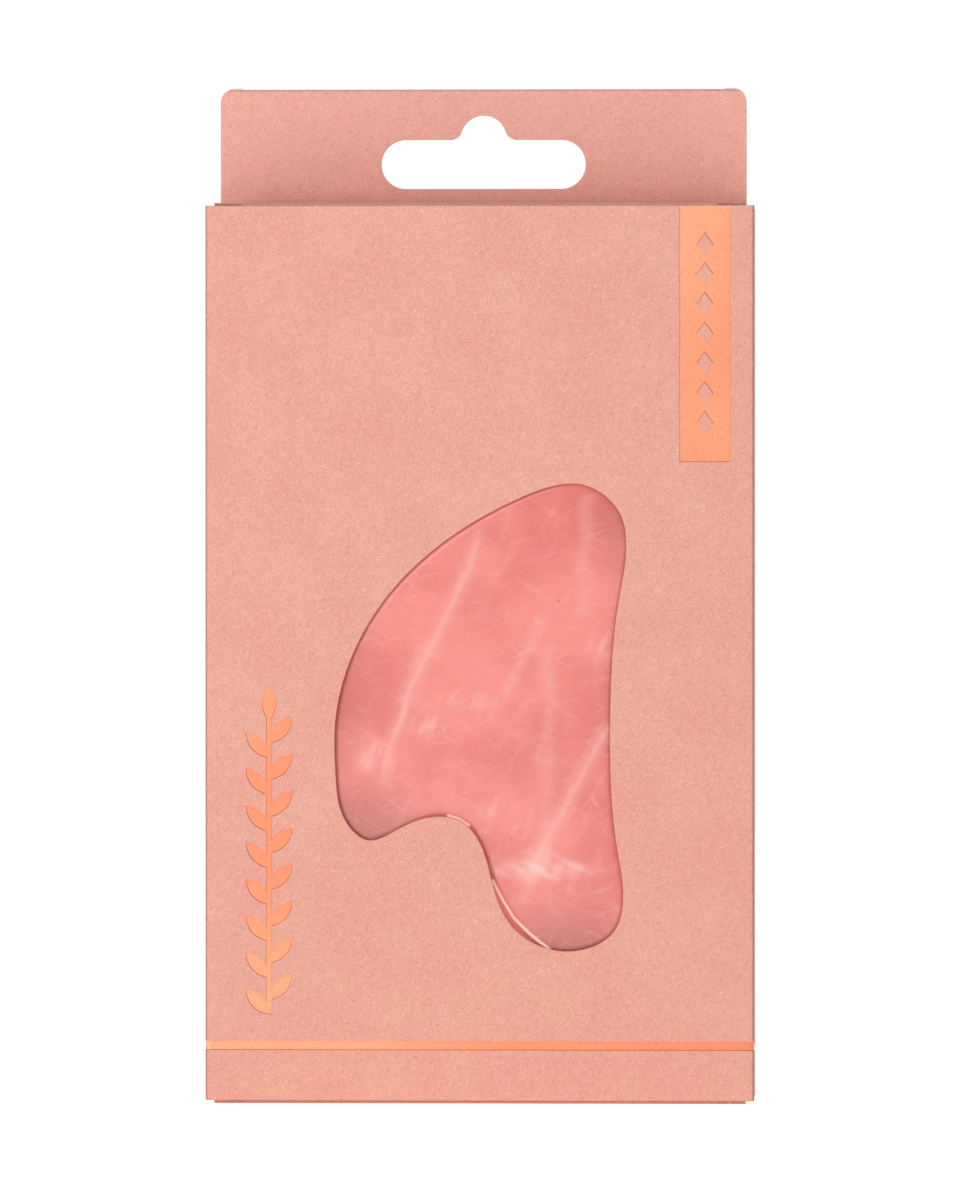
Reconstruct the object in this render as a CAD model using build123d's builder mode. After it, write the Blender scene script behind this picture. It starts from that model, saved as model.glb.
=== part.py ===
"""A rose-quartz gua sha scraper in its hanging window carton.

The stone lies in a foam cradle behind the window of a folding carton.  The carton is one die-cut
board, and every panel of it that turns about a crease is a part of its own.

Frame: millimetres, +Z up the carton, +X to the right, +Y from the window towards the back.
The origin is the middle of the closed carton's underside.
"""

import os
from math import cos, radians, sin

from build123d import *

# ---------------------------------------------------------------- driving dimensions
BOARD = 0.5  # folding boxboard thickness
WIDTH = 85.0  # carton, side to side
DEPTH = 18.0  # carton, window to back
PANEL_TOP = 139.0  # top edge of the front panel
TAB_WIDTH = 82.3  # hanging tab and lids, a little narrower than the carton
TAB_TOP = 158.0
TAB_CORNER = 2.3
SLIP = 0.05  # gap between sheets that slide on each other

FRONT, BACK = -DEPTH / 2, DEPTH / 2  # outer faces of the front and back panels
SIDE = WIDTH / 2  # outer face of a side panel
INNER_FRONT, INNER_BACK = FRONT + BOARD, BACK - BOARD
INNER_SIDE = SIDE - BOARD

# hanging slot: a rounded bar with a flared hump for a single peg
SLOT_WIDTH, SLOT_HEIGHT, SLOT_CENTRE = 32.0, 7.7, 146.05
HUMP_RADIUS, HUMP_CENTRE, HUMP_FLARE = 3.6, 150.1, 1.8

# seam flap, glued inside the back panel
SEAM_REACH, SEAM_BOTTOM, SEAM_TOP, SEAM_TAPER = 12.0, 2.0, 137.5, 6.0

# lids, and the tuck lips that slide in behind the front panel
TOP_HINGE_Y = INNER_BACK - BOARD  # front face of the tab's folded ply
BOTTOM_HINGE_Y = INNER_BACK
LID_FRONT = INNER_FRONT + BOARD + 0.15  # inner corner of the fold between lid and lip
LIP_LENGTH, LIP_LEAN = 11.0, 22.0  # the lip leans inwards, clear of the front panel
LIP_WIDTH, LIP_CORNER = 74.0, 5.0

# dust flaps: tapered, so that they stay under the lid while both turn up together
FLAP_REACH, FLAP_CORNER = 9.0, 1.5
FLAP_BACK, FLAP_FRONT = TOP_HINGE_Y - 1.1, TOP_HINGE_Y - 13.0

# window outline, clockwise: x, z, and how far the stone reaches beyond the window's edge there
OUTLINE = (
    (13.8, 96.0, 2.2),
    (18.3, 94.9, 2.2),
    (22.0, 90.8, 2.2),
    (22.7, 86.5, 2.2),
    (21.4, 76.9, 2.2),
    (20.25, 62.0, 2.2),
    (20.3, 50.0, 2.2),
    (21.3, 39.5, 2.2),
    (22.2, 31.0, 2.2),
    (20.8, 26.7, 2.2),
    (16.4, 24.0, 2.2),
    (10.7, 24.0, 1.9),
    (5.0, 27.5, 0.3),
    (2.0, 34.1, 1.3),
    (0.1, 40.3, 2.0),
    (-2.9, 43.7, 1.6),
    (-7.4, 44.4, 2.0),
    (-13.0, 42.3, 2.2),
    (-17.2, 40.8, 2.2),
    (-20.4, 43.2, 2.2),
    (-22.3, 50.8, 2.2),
    (-22.3, 59.6, 2.2),
    (-19.6, 69.7, 2.2),
    (-13.9, 79.1, 2.2),
    (-4.0, 88.1, 2.2),
    (6.5, 93.9, 2.2),
)

# stone: its polished face lies just behind the window
STONE_FACE, STONE_THICK, STONE_RIM = INNER_FRONT + 0.3, 7.5, 3.0
STONE_BACK = STONE_FACE + STONE_THICK
RECESS_GAP = 0.4

# insert: a board platform with folded walls and ledges, and a foam cradle behind it
PLATFORM_FACE, PLATFORM_WIDTH = INNER_FRONT + 0.2, 83.4
PLATFORM_BACK = PLATFORM_FACE + BOARD
PLATFORM_BOTTOM, PLATFORM_TOP = 14.0, 124.0
THUMB_NOTCH = 10.0
WALL_BOTTOM, WALL_TOP, WALL_BACK = 1.3, 112.0, TOP_HINGE_Y - 0.2
LEDGE_WIDTH, LEDGE_DEPTH, LEDGE_NOTCH = 79.0, 6.0, 4.5  # clear of the turning dust flaps
CRADLE_WIDTH, CRADLE_THICK, CRADLE_CORNER = 60.0, 12.0, 4.0
CRADLE_BOTTOM, CRADLE_TOP = 17.0, 103.0

# hot-foil decoration
FOIL = 0.04
LABEL_LEFT, LABEL_RIGHT, LABEL_BOTTOM = 30.9, 38.8, 99.3
LOZENGE_COUNT, LOZENGE_PITCH, LOZENGE_LONG, LOZENGE_WIDE = 7, 4.6, 3.4, 2.4
BAND_BOTTOM, BAND_TOP = 8.3, 9.7
SPRIG_X, SPRIG_BOTTOM, SPRIG_TOP, STEM = -32.6, 13.8, 64.6, 0.9
LEAF_PAIRS, LEAF_LONG, LEAF_BULGE, LEAF_TILT, LEAF_STAGGER = 8, 5.4, 1.1, 42.0, 0.4

LEFT, RIGHT = -1, 1


# ---------------------------------------------------------------- shared planes and outlines
def front_plane(y):
    """The plane facing forwards at depth y: its x is X and its y is Z."""
    return Plane(origin=(0, y, 0), x_dir=(1, 0, 0), z_dir=(0, -1, 0))


def side_plane(x):
    """The plane facing +X at x: its x is Y and its y is Z."""
    return Plane(origin=(x, 0, 0), x_dir=(0, 1, 0), z_dir=(1, 0, 0))


def outline(reach, gap=0.0):
    """The window's outline, moved outwards by reach times the stone's margin, plus a gap."""
    edge = Spline(*[(x, z) for x, z, _ in OUTLINE], periodic=True)
    points = []
    for x, z, margin in OUTLINE:
        tangent = edge.tangent_at(edge.param_at_point((x, z)))
        outward = reach * margin + gap
        points.append((x - tangent.Y * outward, z + tangent.X * outward))
    return points


def hanging_slot():
    """The slot's face: a bar with a flared hump above its middle."""
    bar_top = SLOT_CENTRE + SLOT_HEIGHT / 2
    with BuildSketch(mode=Mode.PRIVATE) as slot:
        with Locations((0, SLOT_CENTRE)):
            SlotOverall(SLOT_WIDTH, SLOT_HEIGHT)
        with Locations((0, HUMP_CENTRE)):
            Circle(HUMP_RADIUS)
        roots = slot.vertices().filter_by(lambda v: abs(v.Y - bar_top) < 0.01)
        fillet(roots.filter_by(lambda v: abs(v.X) <= HUMP_RADIUS), radius=HUMP_FLARE)
    return slot.sketch


def leaf():
    """A pointed leaf standing on its foot at the origin."""
    with BuildSketch(mode=Mode.PRIVATE) as blade:
        with BuildLine():
            ThreePointArc((0, 0), (LEAF_BULGE, LEAF_LONG / 2), (0, LEAF_LONG))
            ThreePointArc((0, LEAF_LONG), (-LEAF_BULGE, LEAF_LONG / 2), (0, 0))
        make_face()
    return blade.sketch


WINDOW_EDGE = outline(reach=0)
STONE_EDGE = outline(reach=1)
RECESS_EDGE = outline(reach=1, gap=RECESS_GAP)


def save(part, name):
    """Labels a finished piece and writes it as its own file."""
    part.label = name
    export_step(part, f"parts/{name}.step")
    print(f"{name:24s} {part.volume:10.1f} mm3")


# ---------------------------------------------------------------- carton sleeve
def make_front_panel():
    with BuildPart() as front_panel:
        with BuildSketch(front_plane(INNER_FRONT)):
            with Locations((0, (PANEL_TOP + BOARD) / 2)):
                Rectangle(WIDTH, PANEL_TOP - BOARD)
            with BuildLine():
                Spline(*WINDOW_EDGE, periodic=True)
            make_face(mode=Mode.SUBTRACT)
        extrude(amount=BOARD)
    save(front_panel.part, "front_panel")


def make_side_panel(name, side):
    bottom, top = 2 * BOARD + SLIP, PANEL_TOP - SLIP - BOARD
    with BuildPart() as side_panel:
        with BuildSketch(side_plane(side * (INNER_SIDE + BOARD / 2))):
            with Locations((0, (bottom + top) / 2)):
                Rectangle(INNER_BACK - INNER_FRONT, top - bottom)
        extrude(amount=BOARD / 2, both=True)
    save(side_panel.part, name)


def make_back_panel():
    """The back of the carton, with the rear ply of the hanging tab above it."""
    with BuildPart() as back_panel:
        with BuildSketch(front_plane(BACK)):
            with Locations((0, (BOARD + TAB_TOP) / 2)):
                tab = Rectangle(TAB_WIDTH, TAB_TOP - BOARD)
            fillet(tab.vertices().group_by(Axis.Y)[-1], radius=TAB_CORNER)
            with Locations((0, (PANEL_TOP + BOARD) / 2)):
                Rectangle(WIDTH, PANEL_TOP - BOARD)
            add(hanging_slot(), mode=Mode.SUBTRACT)
        extrude(amount=BOARD)
    save(back_panel.part, "back_panel")


def make_tab_front_ply():
    """The tab's front ply, folded down over its top edge; the lid is creased to its foot."""
    foot = PANEL_TOP + BOARD
    with BuildPart() as tab_front_ply:
        with BuildSketch(front_plane(INNER_BACK)):
            with Locations((0, (foot + TAB_TOP) / 2)):
                ply = Rectangle(TAB_WIDTH, TAB_TOP - foot)
            fillet(ply.vertices().group_by(Axis.Y)[-1], radius=TAB_CORNER)
            add(hanging_slot(), mode=Mode.SUBTRACT)
        extrude(amount=BOARD)
    save(tab_front_ply.part, "tab_front_ply")


def make_seam_flap():
    """The seam flap, creased to the left side panel and glued inside the back panel."""
    with BuildPart() as seam_flap:
        with BuildSketch(front_plane(INNER_BACK)):
            with BuildLine():
                Polyline(
                    (-INNER_SIDE, SEAM_BOTTOM),
                    (-INNER_SIDE + SEAM_REACH, SEAM_BOTTOM + SEAM_TAPER),
                    (-INNER_SIDE + SEAM_REACH, SEAM_TOP - SEAM_TAPER),
                    (-INNER_SIDE, SEAM_TOP),
                    close=True,
                )
            make_face()
        extrude(amount=BOARD)
    save(seam_flap.part, "seam_flap")


# ---------------------------------------------------------------- lids, tuck lips and dust flaps
def make_lid(name, bottom, hinge_y):
    with BuildPart() as lid:
        with BuildSketch(Plane.XY.offset(bottom)):
            with Locations((0, (LID_FRONT + hinge_y) / 2)):
                Rectangle(TAB_WIDTH, hinge_y - LID_FRONT)
        extrude(amount=BOARD)
    save(lid.part, name)


def make_tuck_lip(name, fold_z, up):
    """A lip that leaves the lid's front fold at height fold_z; up is 1, or -1 for downwards."""
    lean = radians(LIP_LEAN)
    outward = (0, -cos(lean), up * sin(lean))
    lip_plane = Plane(origin=(0, LID_FRONT, fold_z), x_dir=(1, 0, 0), z_dir=outward)
    with BuildPart() as tuck_lip:
        with BuildSketch(lip_plane):
            with Locations((0, up * LIP_LENGTH / 2)):
                lip = Rectangle(LIP_WIDTH, LIP_LENGTH)
            tip = lip.vertices().group_by(Axis.Y)[-1 if up > 0 else 0]
            fillet(tip, radius=LIP_CORNER)
        extrude(amount=BOARD)
    save(tuck_lip.part, name)


def make_dust_flap(name, side, bottom):
    reach_x = side * (INNER_SIDE - FLAP_REACH)
    with BuildPart() as dust_flap:
        with BuildSketch(Plane.XY.offset(bottom)):
            with BuildLine():
                Polyline(
                    (side * INNER_SIDE, FLAP_BACK),
                    (reach_x, FLAP_BACK - FLAP_REACH),
                    (reach_x, FLAP_FRONT),
                    (side * INNER_SIDE, FLAP_FRONT),
                    close=True,
                )
            flap = make_face()
            tips = flap.vertices().filter_by(lambda v: abs(v.X - reach_x) < 0.01)
            fillet(tips, radius=FLAP_CORNER)
        extrude(amount=BOARD)
    save(dust_flap.part, name)


# ---------------------------------------------------------------- insert, cradle and stone
def make_insert_platform():
    """The insert's face: a frame round the stone, with a thumb notch for drawing it out."""
    with BuildPart() as insert_platform:
        with BuildSketch(front_plane(PLATFORM_BACK)):
            with Locations((0, (PLATFORM_BOTTOM + PLATFORM_TOP) / 2)):
                Rectangle(PLATFORM_WIDTH, PLATFORM_TOP - PLATFORM_BOTTOM)
            with Locations((0, PLATFORM_TOP)):
                Circle(THUMB_NOTCH, mode=Mode.SUBTRACT)
            with BuildLine():
                Spline(*RECESS_EDGE, periodic=True)
            make_face(mode=Mode.SUBTRACT)
        extrude(amount=BOARD)
    save(insert_platform.part, "insert_platform")


def make_insert_wall(name, side):
    """A wall folded back from the platform, which holds it against the front panel."""
    with BuildPart() as insert_wall:
        with BuildSketch(side_plane(side * (PLATFORM_WIDTH / 2 - BOARD / 2))):
            with Locations(((PLATFORM_BACK + WALL_BACK) / 2, (WALL_BOTTOM + WALL_TOP) / 2)):
                Rectangle(WALL_BACK - PLATFORM_BACK, WALL_TOP - WALL_BOTTOM)
        extrude(amount=BOARD / 2, both=True)
    save(insert_wall.part, name)


def make_insert_ledge(name, bottom, notch):
    """A stiffening ledge folded back from the platform's edge, between the two walls."""
    with BuildPart() as insert_ledge:
        with BuildSketch(Plane.XY.offset(bottom)):
            with Locations((0, PLATFORM_BACK + LEDGE_DEPTH / 2)):
                Rectangle(LEDGE_WIDTH, LEDGE_DEPTH)
            if notch:
                with Locations((0, PLATFORM_BACK)):
                    Ellipse(THUMB_NOTCH, LEDGE_NOTCH, mode=Mode.SUBTRACT)
        extrude(amount=BOARD)
    save(insert_ledge.part, name)


def make_foam_cradle():
    """The foam pad glued behind the platform, with a pocket for the back of the stone."""
    with BuildPart() as foam_cradle:
        with BuildSketch(front_plane(PLATFORM_BACK + CRADLE_THICK)):
            with Locations((0, (CRADLE_BOTTOM + CRADLE_TOP) / 2)):
                RectangleRounded(CRADLE_WIDTH, CRADLE_TOP - CRADLE_BOTTOM, CRADLE_CORNER)
        extrude(amount=CRADLE_THICK)
        with BuildSketch(front_plane(STONE_BACK)):
            with BuildLine():
                Spline(*RECESS_EDGE, periodic=True)
            make_face()
        extrude(amount=STONE_BACK - PLATFORM_BACK, mode=Mode.SUBTRACT)
    save(foam_cradle.part, "foam_cradle")


def make_scraper():
    """The polished stone: two flat faces and a rounded rim all the way round."""
    with BuildPart() as scraper:
        with BuildSketch(front_plane(STONE_BACK)):
            with BuildLine():
                Spline(*STONE_EDGE, periodic=True)
            make_face()
        extrude(amount=STONE_THICK)
        fillet(scraper.faces().filter_by(Axis.Y).edges(), radius=STONE_RIM)
    save(scraper.part, "scraper")


# ---------------------------------------------------------------- hot-foil decoration
def make_foil_label():
    """The foil block at the top right, with a column of plain lozenges left open in it."""
    half_wide, half_long = LOZENGE_WIDE / 2, LOZENGE_LONG / 2
    with BuildPart() as foil_label:
        with BuildSketch(front_plane(FRONT)):
            with Locations(((LABEL_LEFT + LABEL_RIGHT) / 2, (LABEL_BOTTOM + PANEL_TOP) / 2)):
                Rectangle(LABEL_RIGHT - LABEL_LEFT, PANEL_TOP - LABEL_BOTTOM)
                with GridLocations(0, LOZENGE_PITCH, 1, LOZENGE_COUNT):
                    Polygon(
                        (half_wide, 0),
                        (0, half_long),
                        (-half_wide, 0),
                        (0, -half_long),
                        mode=Mode.SUBTRACT,
                    )
        extrude(amount=FOIL)
    save(foil_label.part, "foil_label")


def make_foil_band():
    """A narrow foil line across the front and both sides; the back stays plain and flat."""
    with BuildPart() as foil_band:
        with BuildSketch(Plane.XY.offset(BAND_BOTTOM)):
            with Locations((0, -FOIL / 2)):
                Rectangle(WIDTH + 2 * FOIL, DEPTH + FOIL)
            Rectangle(WIDTH, DEPTH, mode=Mode.SUBTRACT)
        extrude(amount=BAND_TOP - BAND_BOTTOM)
    save(foil_band.part, "foil_band")


def make_foil_sprig():
    """A foil sprig up the left side: a slim stem, staggered pairs of leaves and one at the tip."""
    crown = SPRIG_TOP - LEAF_LONG
    pitch = (crown - SPRIG_BOTTOM) / LEAF_PAIRS
    with BuildPart() as foil_sprig:
        with BuildSketch(front_plane(FRONT)):
            with Locations((SPRIG_X, (SPRIG_BOTTOM + crown + STEM) / 2)):
                Rectangle(STEM, crown + STEM - SPRIG_BOTTOM)
            with Locations((SPRIG_X, crown)):
                add(leaf())
            for pair in range(LEAF_PAIRS):
                foot = SPRIG_BOTTOM + pitch * pair
                with Locations((SPRIG_X, foot)):
                    add(leaf(), rotation=LEAF_TILT)
                with Locations((SPRIG_X, foot + LEAF_STAGGER * pitch)):
                    add(leaf(), rotation=-LEAF_TILT)
        extrude(amount=FOIL)
    save(foil_sprig.part, "foil_sprig")


# ---------------------------------------------------------------- build
def main():
    os.makedirs("parts", exist_ok=True)

    make_front_panel()
    make_back_panel()
    make_tab_front_ply()
    make_seam_flap()

    make_lid("top_lid", bottom=PANEL_TOP, hinge_y=TOP_HINGE_Y)
    make_lid("bottom_lid", bottom=0.0, hinge_y=BOTTOM_HINGE_Y)
    make_tuck_lip("top_tuck_lip", fold_z=PANEL_TOP, up=-1)
    make_tuck_lip("bottom_tuck_lip", fold_z=BOARD, up=1)
    for side, word in ((LEFT, "left"), (RIGHT, "right")):
        make_side_panel(f"{word}_side_panel", side)
        make_dust_flap(f"top_dust_flap_{word}", side, bottom=PANEL_TOP - SLIP - BOARD)
        make_dust_flap(f"bottom_dust_flap_{word}", side, bottom=BOARD + SLIP)
        make_insert_wall(f"insert_wall_{word}", side)

    make_insert_platform()
    make_insert_ledge("insert_ledge_top", bottom=PLATFORM_TOP - BOARD, notch=True)
    make_insert_ledge("insert_ledge_bottom", bottom=PLATFORM_BOTTOM, notch=False)
    make_foam_cradle()
    make_scraper()

    make_foil_label()
    make_foil_band()
    make_foil_sprig()


main()
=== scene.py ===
# %% [markdown]
# # A gua sha scraper in its hanging window carton
#
# The product is a polished rose-quartz stone that lies in a foam cradle behind the window of a folding
# carton. The measured model already exists as plain solids, and this script gives it its looks. The
# pieces take their places and sizes from that model, and only the veils in the stone are placed one by one.
#
# We load the model first.

# %% Load the measured model
import math

import bmesh
import bpy
import numpy as np
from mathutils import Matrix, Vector
from mathutils import noise as value_noise
from mathutils.geometry import delaunay_2d_cdt


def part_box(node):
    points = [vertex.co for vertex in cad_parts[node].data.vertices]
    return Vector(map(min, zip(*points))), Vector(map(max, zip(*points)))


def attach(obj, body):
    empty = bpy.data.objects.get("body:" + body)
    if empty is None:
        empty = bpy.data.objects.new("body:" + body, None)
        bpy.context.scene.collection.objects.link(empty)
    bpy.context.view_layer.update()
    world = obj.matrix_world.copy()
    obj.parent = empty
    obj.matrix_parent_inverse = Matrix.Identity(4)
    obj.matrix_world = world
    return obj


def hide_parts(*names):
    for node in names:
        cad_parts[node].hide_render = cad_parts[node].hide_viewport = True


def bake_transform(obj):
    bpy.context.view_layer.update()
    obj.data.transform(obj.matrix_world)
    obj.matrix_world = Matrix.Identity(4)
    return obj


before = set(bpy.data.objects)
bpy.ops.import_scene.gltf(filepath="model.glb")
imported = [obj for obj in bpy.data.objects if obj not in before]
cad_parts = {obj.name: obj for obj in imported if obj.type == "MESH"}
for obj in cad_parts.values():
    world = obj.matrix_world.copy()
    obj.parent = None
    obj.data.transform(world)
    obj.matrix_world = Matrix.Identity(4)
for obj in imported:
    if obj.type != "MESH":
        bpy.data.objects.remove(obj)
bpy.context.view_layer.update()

MM = 0.001

# %% [markdown]
# ## Reading outlines from the model
#
# The window, the hanging slot and the stone all have outlines that were drawn once, in the model. We
# could draw them again here, but copying is how two shapes drift apart. Instead a small function walks
# round the edges of a node that lie in one plane and returns them as ordered loops of points.

# %% Outlines from the model's own edges
X, Y, Z = 0, 1, 2
WELD = 0.001 * MM
IN_PLANE = 0.004 * MM


def signed_area(loop):
    """Positive for a loop that runs anticlockwise."""
    a, b = np.array(loop), np.roll(np.array(loop), -1, axis=0)
    return float(np.sum(a[:, 0] * b[:, 1] - b[:, 0] * a[:, 1]) / 2)


def welded(node):
    """A copy of a node's mesh whose faces share their corners."""
    solid = bmesh.new()
    solid.from_mesh(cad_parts[node].data)
    bmesh.ops.remove_doubles(solid, verts=solid.verts, dist=WELD)
    return solid


def outlines(node, axis, at):
    """The closed outlines of a node in the plane where axis is at, the largest first."""
    def lies_in(corners):
        return all(abs(v.co[axis] - at) < IN_PLANE for v in corners)

    solid = welded(node)
    beside = {}
    for edge in solid.edges:
        if lies_in(edge.verts) and not all(lies_in(f.verts) for f in edge.link_faces):
            a, b = edge.verts
            beside.setdefault(a, []).append(b)
            beside.setdefault(b, []).append(a)
    kept = [other for other in (X, Y, Z) if other != axis]
    loops = []
    waiting = set(beside)
    while waiting:
        here = min(waiting, key=lambda v: v.index)
        walk = []
        while here is not None:
            waiting.discard(here)
            walk.append([here.co[kept[0]], here.co[kept[1]]])
            here = next((v for v in beside[here] if v in waiting), None)
        loops.append(walk)
    solid.free()
    return sorted(loops, key=lambda loop: -abs(signed_area(loop)))


def anticlockwise(loop):
    return list(loop) if signed_area(loop) > 0 else list(loop)[::-1]


def evened(loop, step):
    """The same closed loop with its points spread evenly, about a step apart."""
    ring = np.array(anticlockwise(loop) + [anticlockwise(loop)[0]])
    along = np.concatenate([[0], np.cumsum(np.linalg.norm(np.diff(ring, axis=0), axis=1))])
    count = int(round(along[-1] / step))
    spots = np.linspace(0, along[-1], count, endpoint=False)
    return np.stack([np.interp(spots, along, ring[:, k]) for k in (0, 1)], axis=1)


SMOOTHING = (0.5, -0.53)
SHARPEST = 0.25


def smoothed(loop, passes):
    """Takes the small facets out of an evened loop. Each pass shrinks it and then swells it back."""
    for _ in range(passes):
        for share in SMOOTHING:
            middle = (np.roll(loop, 1, axis=0) + np.roll(loop, -1, axis=0)) / 2
            loop = loop + share * (middle - loop)
    return loop


def offset(loop, distance):
    """A closed loop moved to its left by a distance: inwards, if the loop runs anticlockwise."""
    ring = np.array(loop, float)
    before, after = ring - np.roll(ring, 1, axis=0), np.roll(ring, -1, axis=0) - ring
    before /= np.linalg.norm(before, axis=1, keepdims=True)
    after /= np.linalg.norm(after, axis=1, keepdims=True)
    left = np.stack([-(before + after)[:, 1], (before + after)[:, 0]], axis=1)
    stretch = np.clip(1 + np.sum(before * after, axis=1, keepdims=True), SHARPEST, None)
    return ring + distance * left / stretch


square = [(0, 0), (4, 0), (4, 4), (0, 4)]
print("area of a 4 by 4 square, offset inwards by 1:", signed_area(offset(square, 1)))

# %% [markdown]
# ## The carton's main sizes
#
# These few numbers place almost everything else. The window's outline is spread into even steps and
# smoothed a little, because the solid it comes from is made of short flat facets.

# %% Main sizes, the window and the slot
WINDOW_STEP, WINDOW_PASSES = 0.5 * MM, 12

front_low, front_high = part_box("front_panel")
FRONT, INNER_FRONT = front_low.y, front_high.y
BOARD = INNER_FRONT - FRONT
PANEL_TOP = front_high.z
SIDE = front_high.x
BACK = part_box("back_panel")[1].y
TAB_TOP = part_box("back_panel")[1].z

window = smoothed(evened(outlines("front_panel", Y, FRONT)[1], WINDOW_STEP), WINDOW_PASSES)
slot = outlines("back_panel", Y, BACK)[1]
print("board", round(BOARD / MM, 3), "mm; window", len(window), "points; slot", len(slot), "points")

# %% [markdown]
# ## Folding a flat sheet
#
# A real carton is stamped flat and then folded, and its folds are round: the printed face runs over
# each crease without a break. We build it the same way. `Folds` describes the board seen end-on, as
# straight runs joined by small arcs, and turns a distance along the printed face into a place and a
# direction. Bending flat points through it gives a folded sheet whose corners catch the light. A crease
# whose radius is FULL_ROUND times the board's thickness turns about the board's inner face.

# %% A line of board, seen end-on
CREASE_STEPS = 6
SUPPORT = 0.5 * MM
FULL_ROUND = 0.999


def heading_vector(heading):
    return np.array([math.cos(heading), math.sin(heading)])


def right_of(heading):
    """The printed side: the board is always walked with its print on the right."""
    return np.array([math.sin(heading), -math.cos(heading)])


class Folds:
    """Straight runs joined by creases, measured along the printed face."""

    def __init__(self, corners, radii):
        corners = [np.array(c, float) for c in corners]
        start, self.length, self.stretches, self.lines = corners[0], 0.0, [], []
        headings = [math.atan2(*(b - a)[::-1]) for a, b in zip(corners, corners[1:])]
        for corner, radius, heading, onward in zip(corners[1:], radii, headings, headings[1:]):
            turn = (onward - heading + math.pi) % (2 * math.pi) - math.pi
            cut = radius * math.tan(abs(turn) / 2)
            self.add(start, heading, np.linalg.norm(corner - start) - cut, 0.0)
            self.add(corner - cut * heading_vector(heading), heading, radius * abs(turn), turn)
            start = corner + cut * heading_vector(onward)
        self.add(start, headings[-1], np.linalg.norm(corners[-1] - start), 0.0)

    def add(self, start, heading, length, turn):
        self.stretches.append((self.length, length, start, heading, turn))
        if turn:
            steps = np.linspace(0, length, CREASE_STEPS + 1)
            self.lines += list(self.length + steps)
            self.lines += [self.length - SUPPORT, self.length + length + SUPPORT]
        self.length += length

    def on_run(self, run, value):
        """The distance along the board where straight run number run reaches a coordinate."""
        begin, _, start, heading, _ = self.stretches[2 * run]
        towards = heading_vector(heading)
        axis = int(np.argmax(np.abs(towards)))
        return begin + (value - start[axis]) / towards[axis]

    def crease_ends(self, number):
        """The distances along the board where crease number begins and ends."""
        begin, length = self.stretches[2 * number + 1][:2]
        return begin, begin + length

    def at(self, distance, depth=0.0):
        """The point at a distance along the print and a depth below it."""
        fits = [s for s in self.stretches if s[0] <= distance + 1e-9] or self.stretches[:1]
        begin, length, start, heading, turn = fits[-1]
        if turn:
            bent = heading + turn * (distance - begin) / length
            radius = length / turn
            centre = start - radius * right_of(heading)
            return centre + (radius - depth) * right_of(bent)
        return start + (distance - begin) * heading_vector(heading) - depth * right_of(heading)


right_angle = Folds([(0, 0), (10 * MM, 0), (10 * MM, 10 * MM)], [1 * MM])
print("20 mm of board round a 1 mm corner measures", round(right_angle.length / MM, 2), "mm")

# %% [markdown]
# ## From a flat outline to a solid board
#
# The flat sheet is filled with triangles by Delaunay triangulation, which takes an outline, its holes
# and every crease line, and leaves none of them out. A point is inside when a ray from it crosses the
# outlines an odd number of times, which also works for holes.

# %% Filling outlines with triangles
def inside(points, loops):
    """For each point, whether it lies inside an odd number of the loops."""
    points = np.array(points, float)
    within = np.zeros(len(points), bool)
    for loop in loops:
        a, b = np.array(loop, float), np.roll(np.array(loop, float), -1, axis=0)
        for (ax, ay), (bx, by) in zip(a, b):
            crosses = (ay > points[:, 1]) != (by > points[:, 1])
            if ay != by:
                reach = ax + (points[:, 1] - ay) * (bx - ax) / (by - ay)
                within ^= crosses & (points[:, 0] < reach)
    return within


def facing(loops):
    """The outline anticlockwise and its holes clockwise, so the board is always on the left."""
    return [anticlockwise(loops[0])] + [anticlockwise(hole)[::-1] for hole in loops[1:]]


def triangles(loops, lines):
    """Delaunay triangles over the loops, cut along crease lines given as (distance, low, high)."""
    points, edges = [], []
    for loop in loops:
        first = len(points)
        points += [Vector(p) for p in loop]
        edges += [(first + i, first + (i + 1) % len(loop)) for i in range(len(loop))]
    for distance, low, high in lines:
        edges.append((len(points), len(points) + 1))
        points += [Vector((distance, low)), Vector((distance, high))]
    flat, _, faces, *_ = delaunay_2d_cdt(points, edges, [], 0, 1e-8)
    return np.array([list(p) for p in flat]), [list(f) for f in faces]


def rim(faces):
    """The edges that only one triangle uses, each in that triangle's own direction."""
    used = {(a, b) for f in faces for a, b in zip(f, f[1:] + f[:1])}
    return [(a, b) for a, b in used if (b, a) not in used]


print("Delaunay triangles over the window:", len(triangles([anticlockwise(window)], [])[1]))

# %% [markdown]
# ## Points and faces to an object
#
# Every mesh below ends here. The normals are made to point outwards, and edges sharper than a given
# angle stay crisp while all others are shaded smooth.

# %% A finished mesh object
CRISP, ALL_SMOOTH = 22, 180


def solid_object(name, points, faces, kinds, materials, crisp=CRISP):
    """A mesh object with outward faces, a material for each kind of face, and crisp edges."""
    mesh = bpy.data.meshes.new(name)
    mesh.from_pydata([tuple(p) for p in points], [], faces)
    for material in materials:
        mesh.materials.append(material)
    for face, kind in zip(mesh.polygons, kinds):
        face.material_index = kind
    tidy = bmesh.new()
    tidy.from_mesh(mesh)
    bmesh.ops.delete(tidy, geom=[v for v in tidy.verts if not v.link_faces], context="VERTS")
    bmesh.ops.recalc_face_normals(tidy, faces=tidy.faces)
    tidy.to_mesh(mesh)
    tidy.free()
    mesh.shade_smooth()
    mesh.set_sharp_from_angle(angle=math.radians(crisp))
    piece = bpy.data.objects.new(name, mesh)
    bpy.context.scene.collection.objects.link(piece)
    print(f"{name}: {len(mesh.vertices)} vertices, {len(mesh.polygons)} faces")
    return piece


print("edges stay crisp above", CRISP, "degrees")

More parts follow.
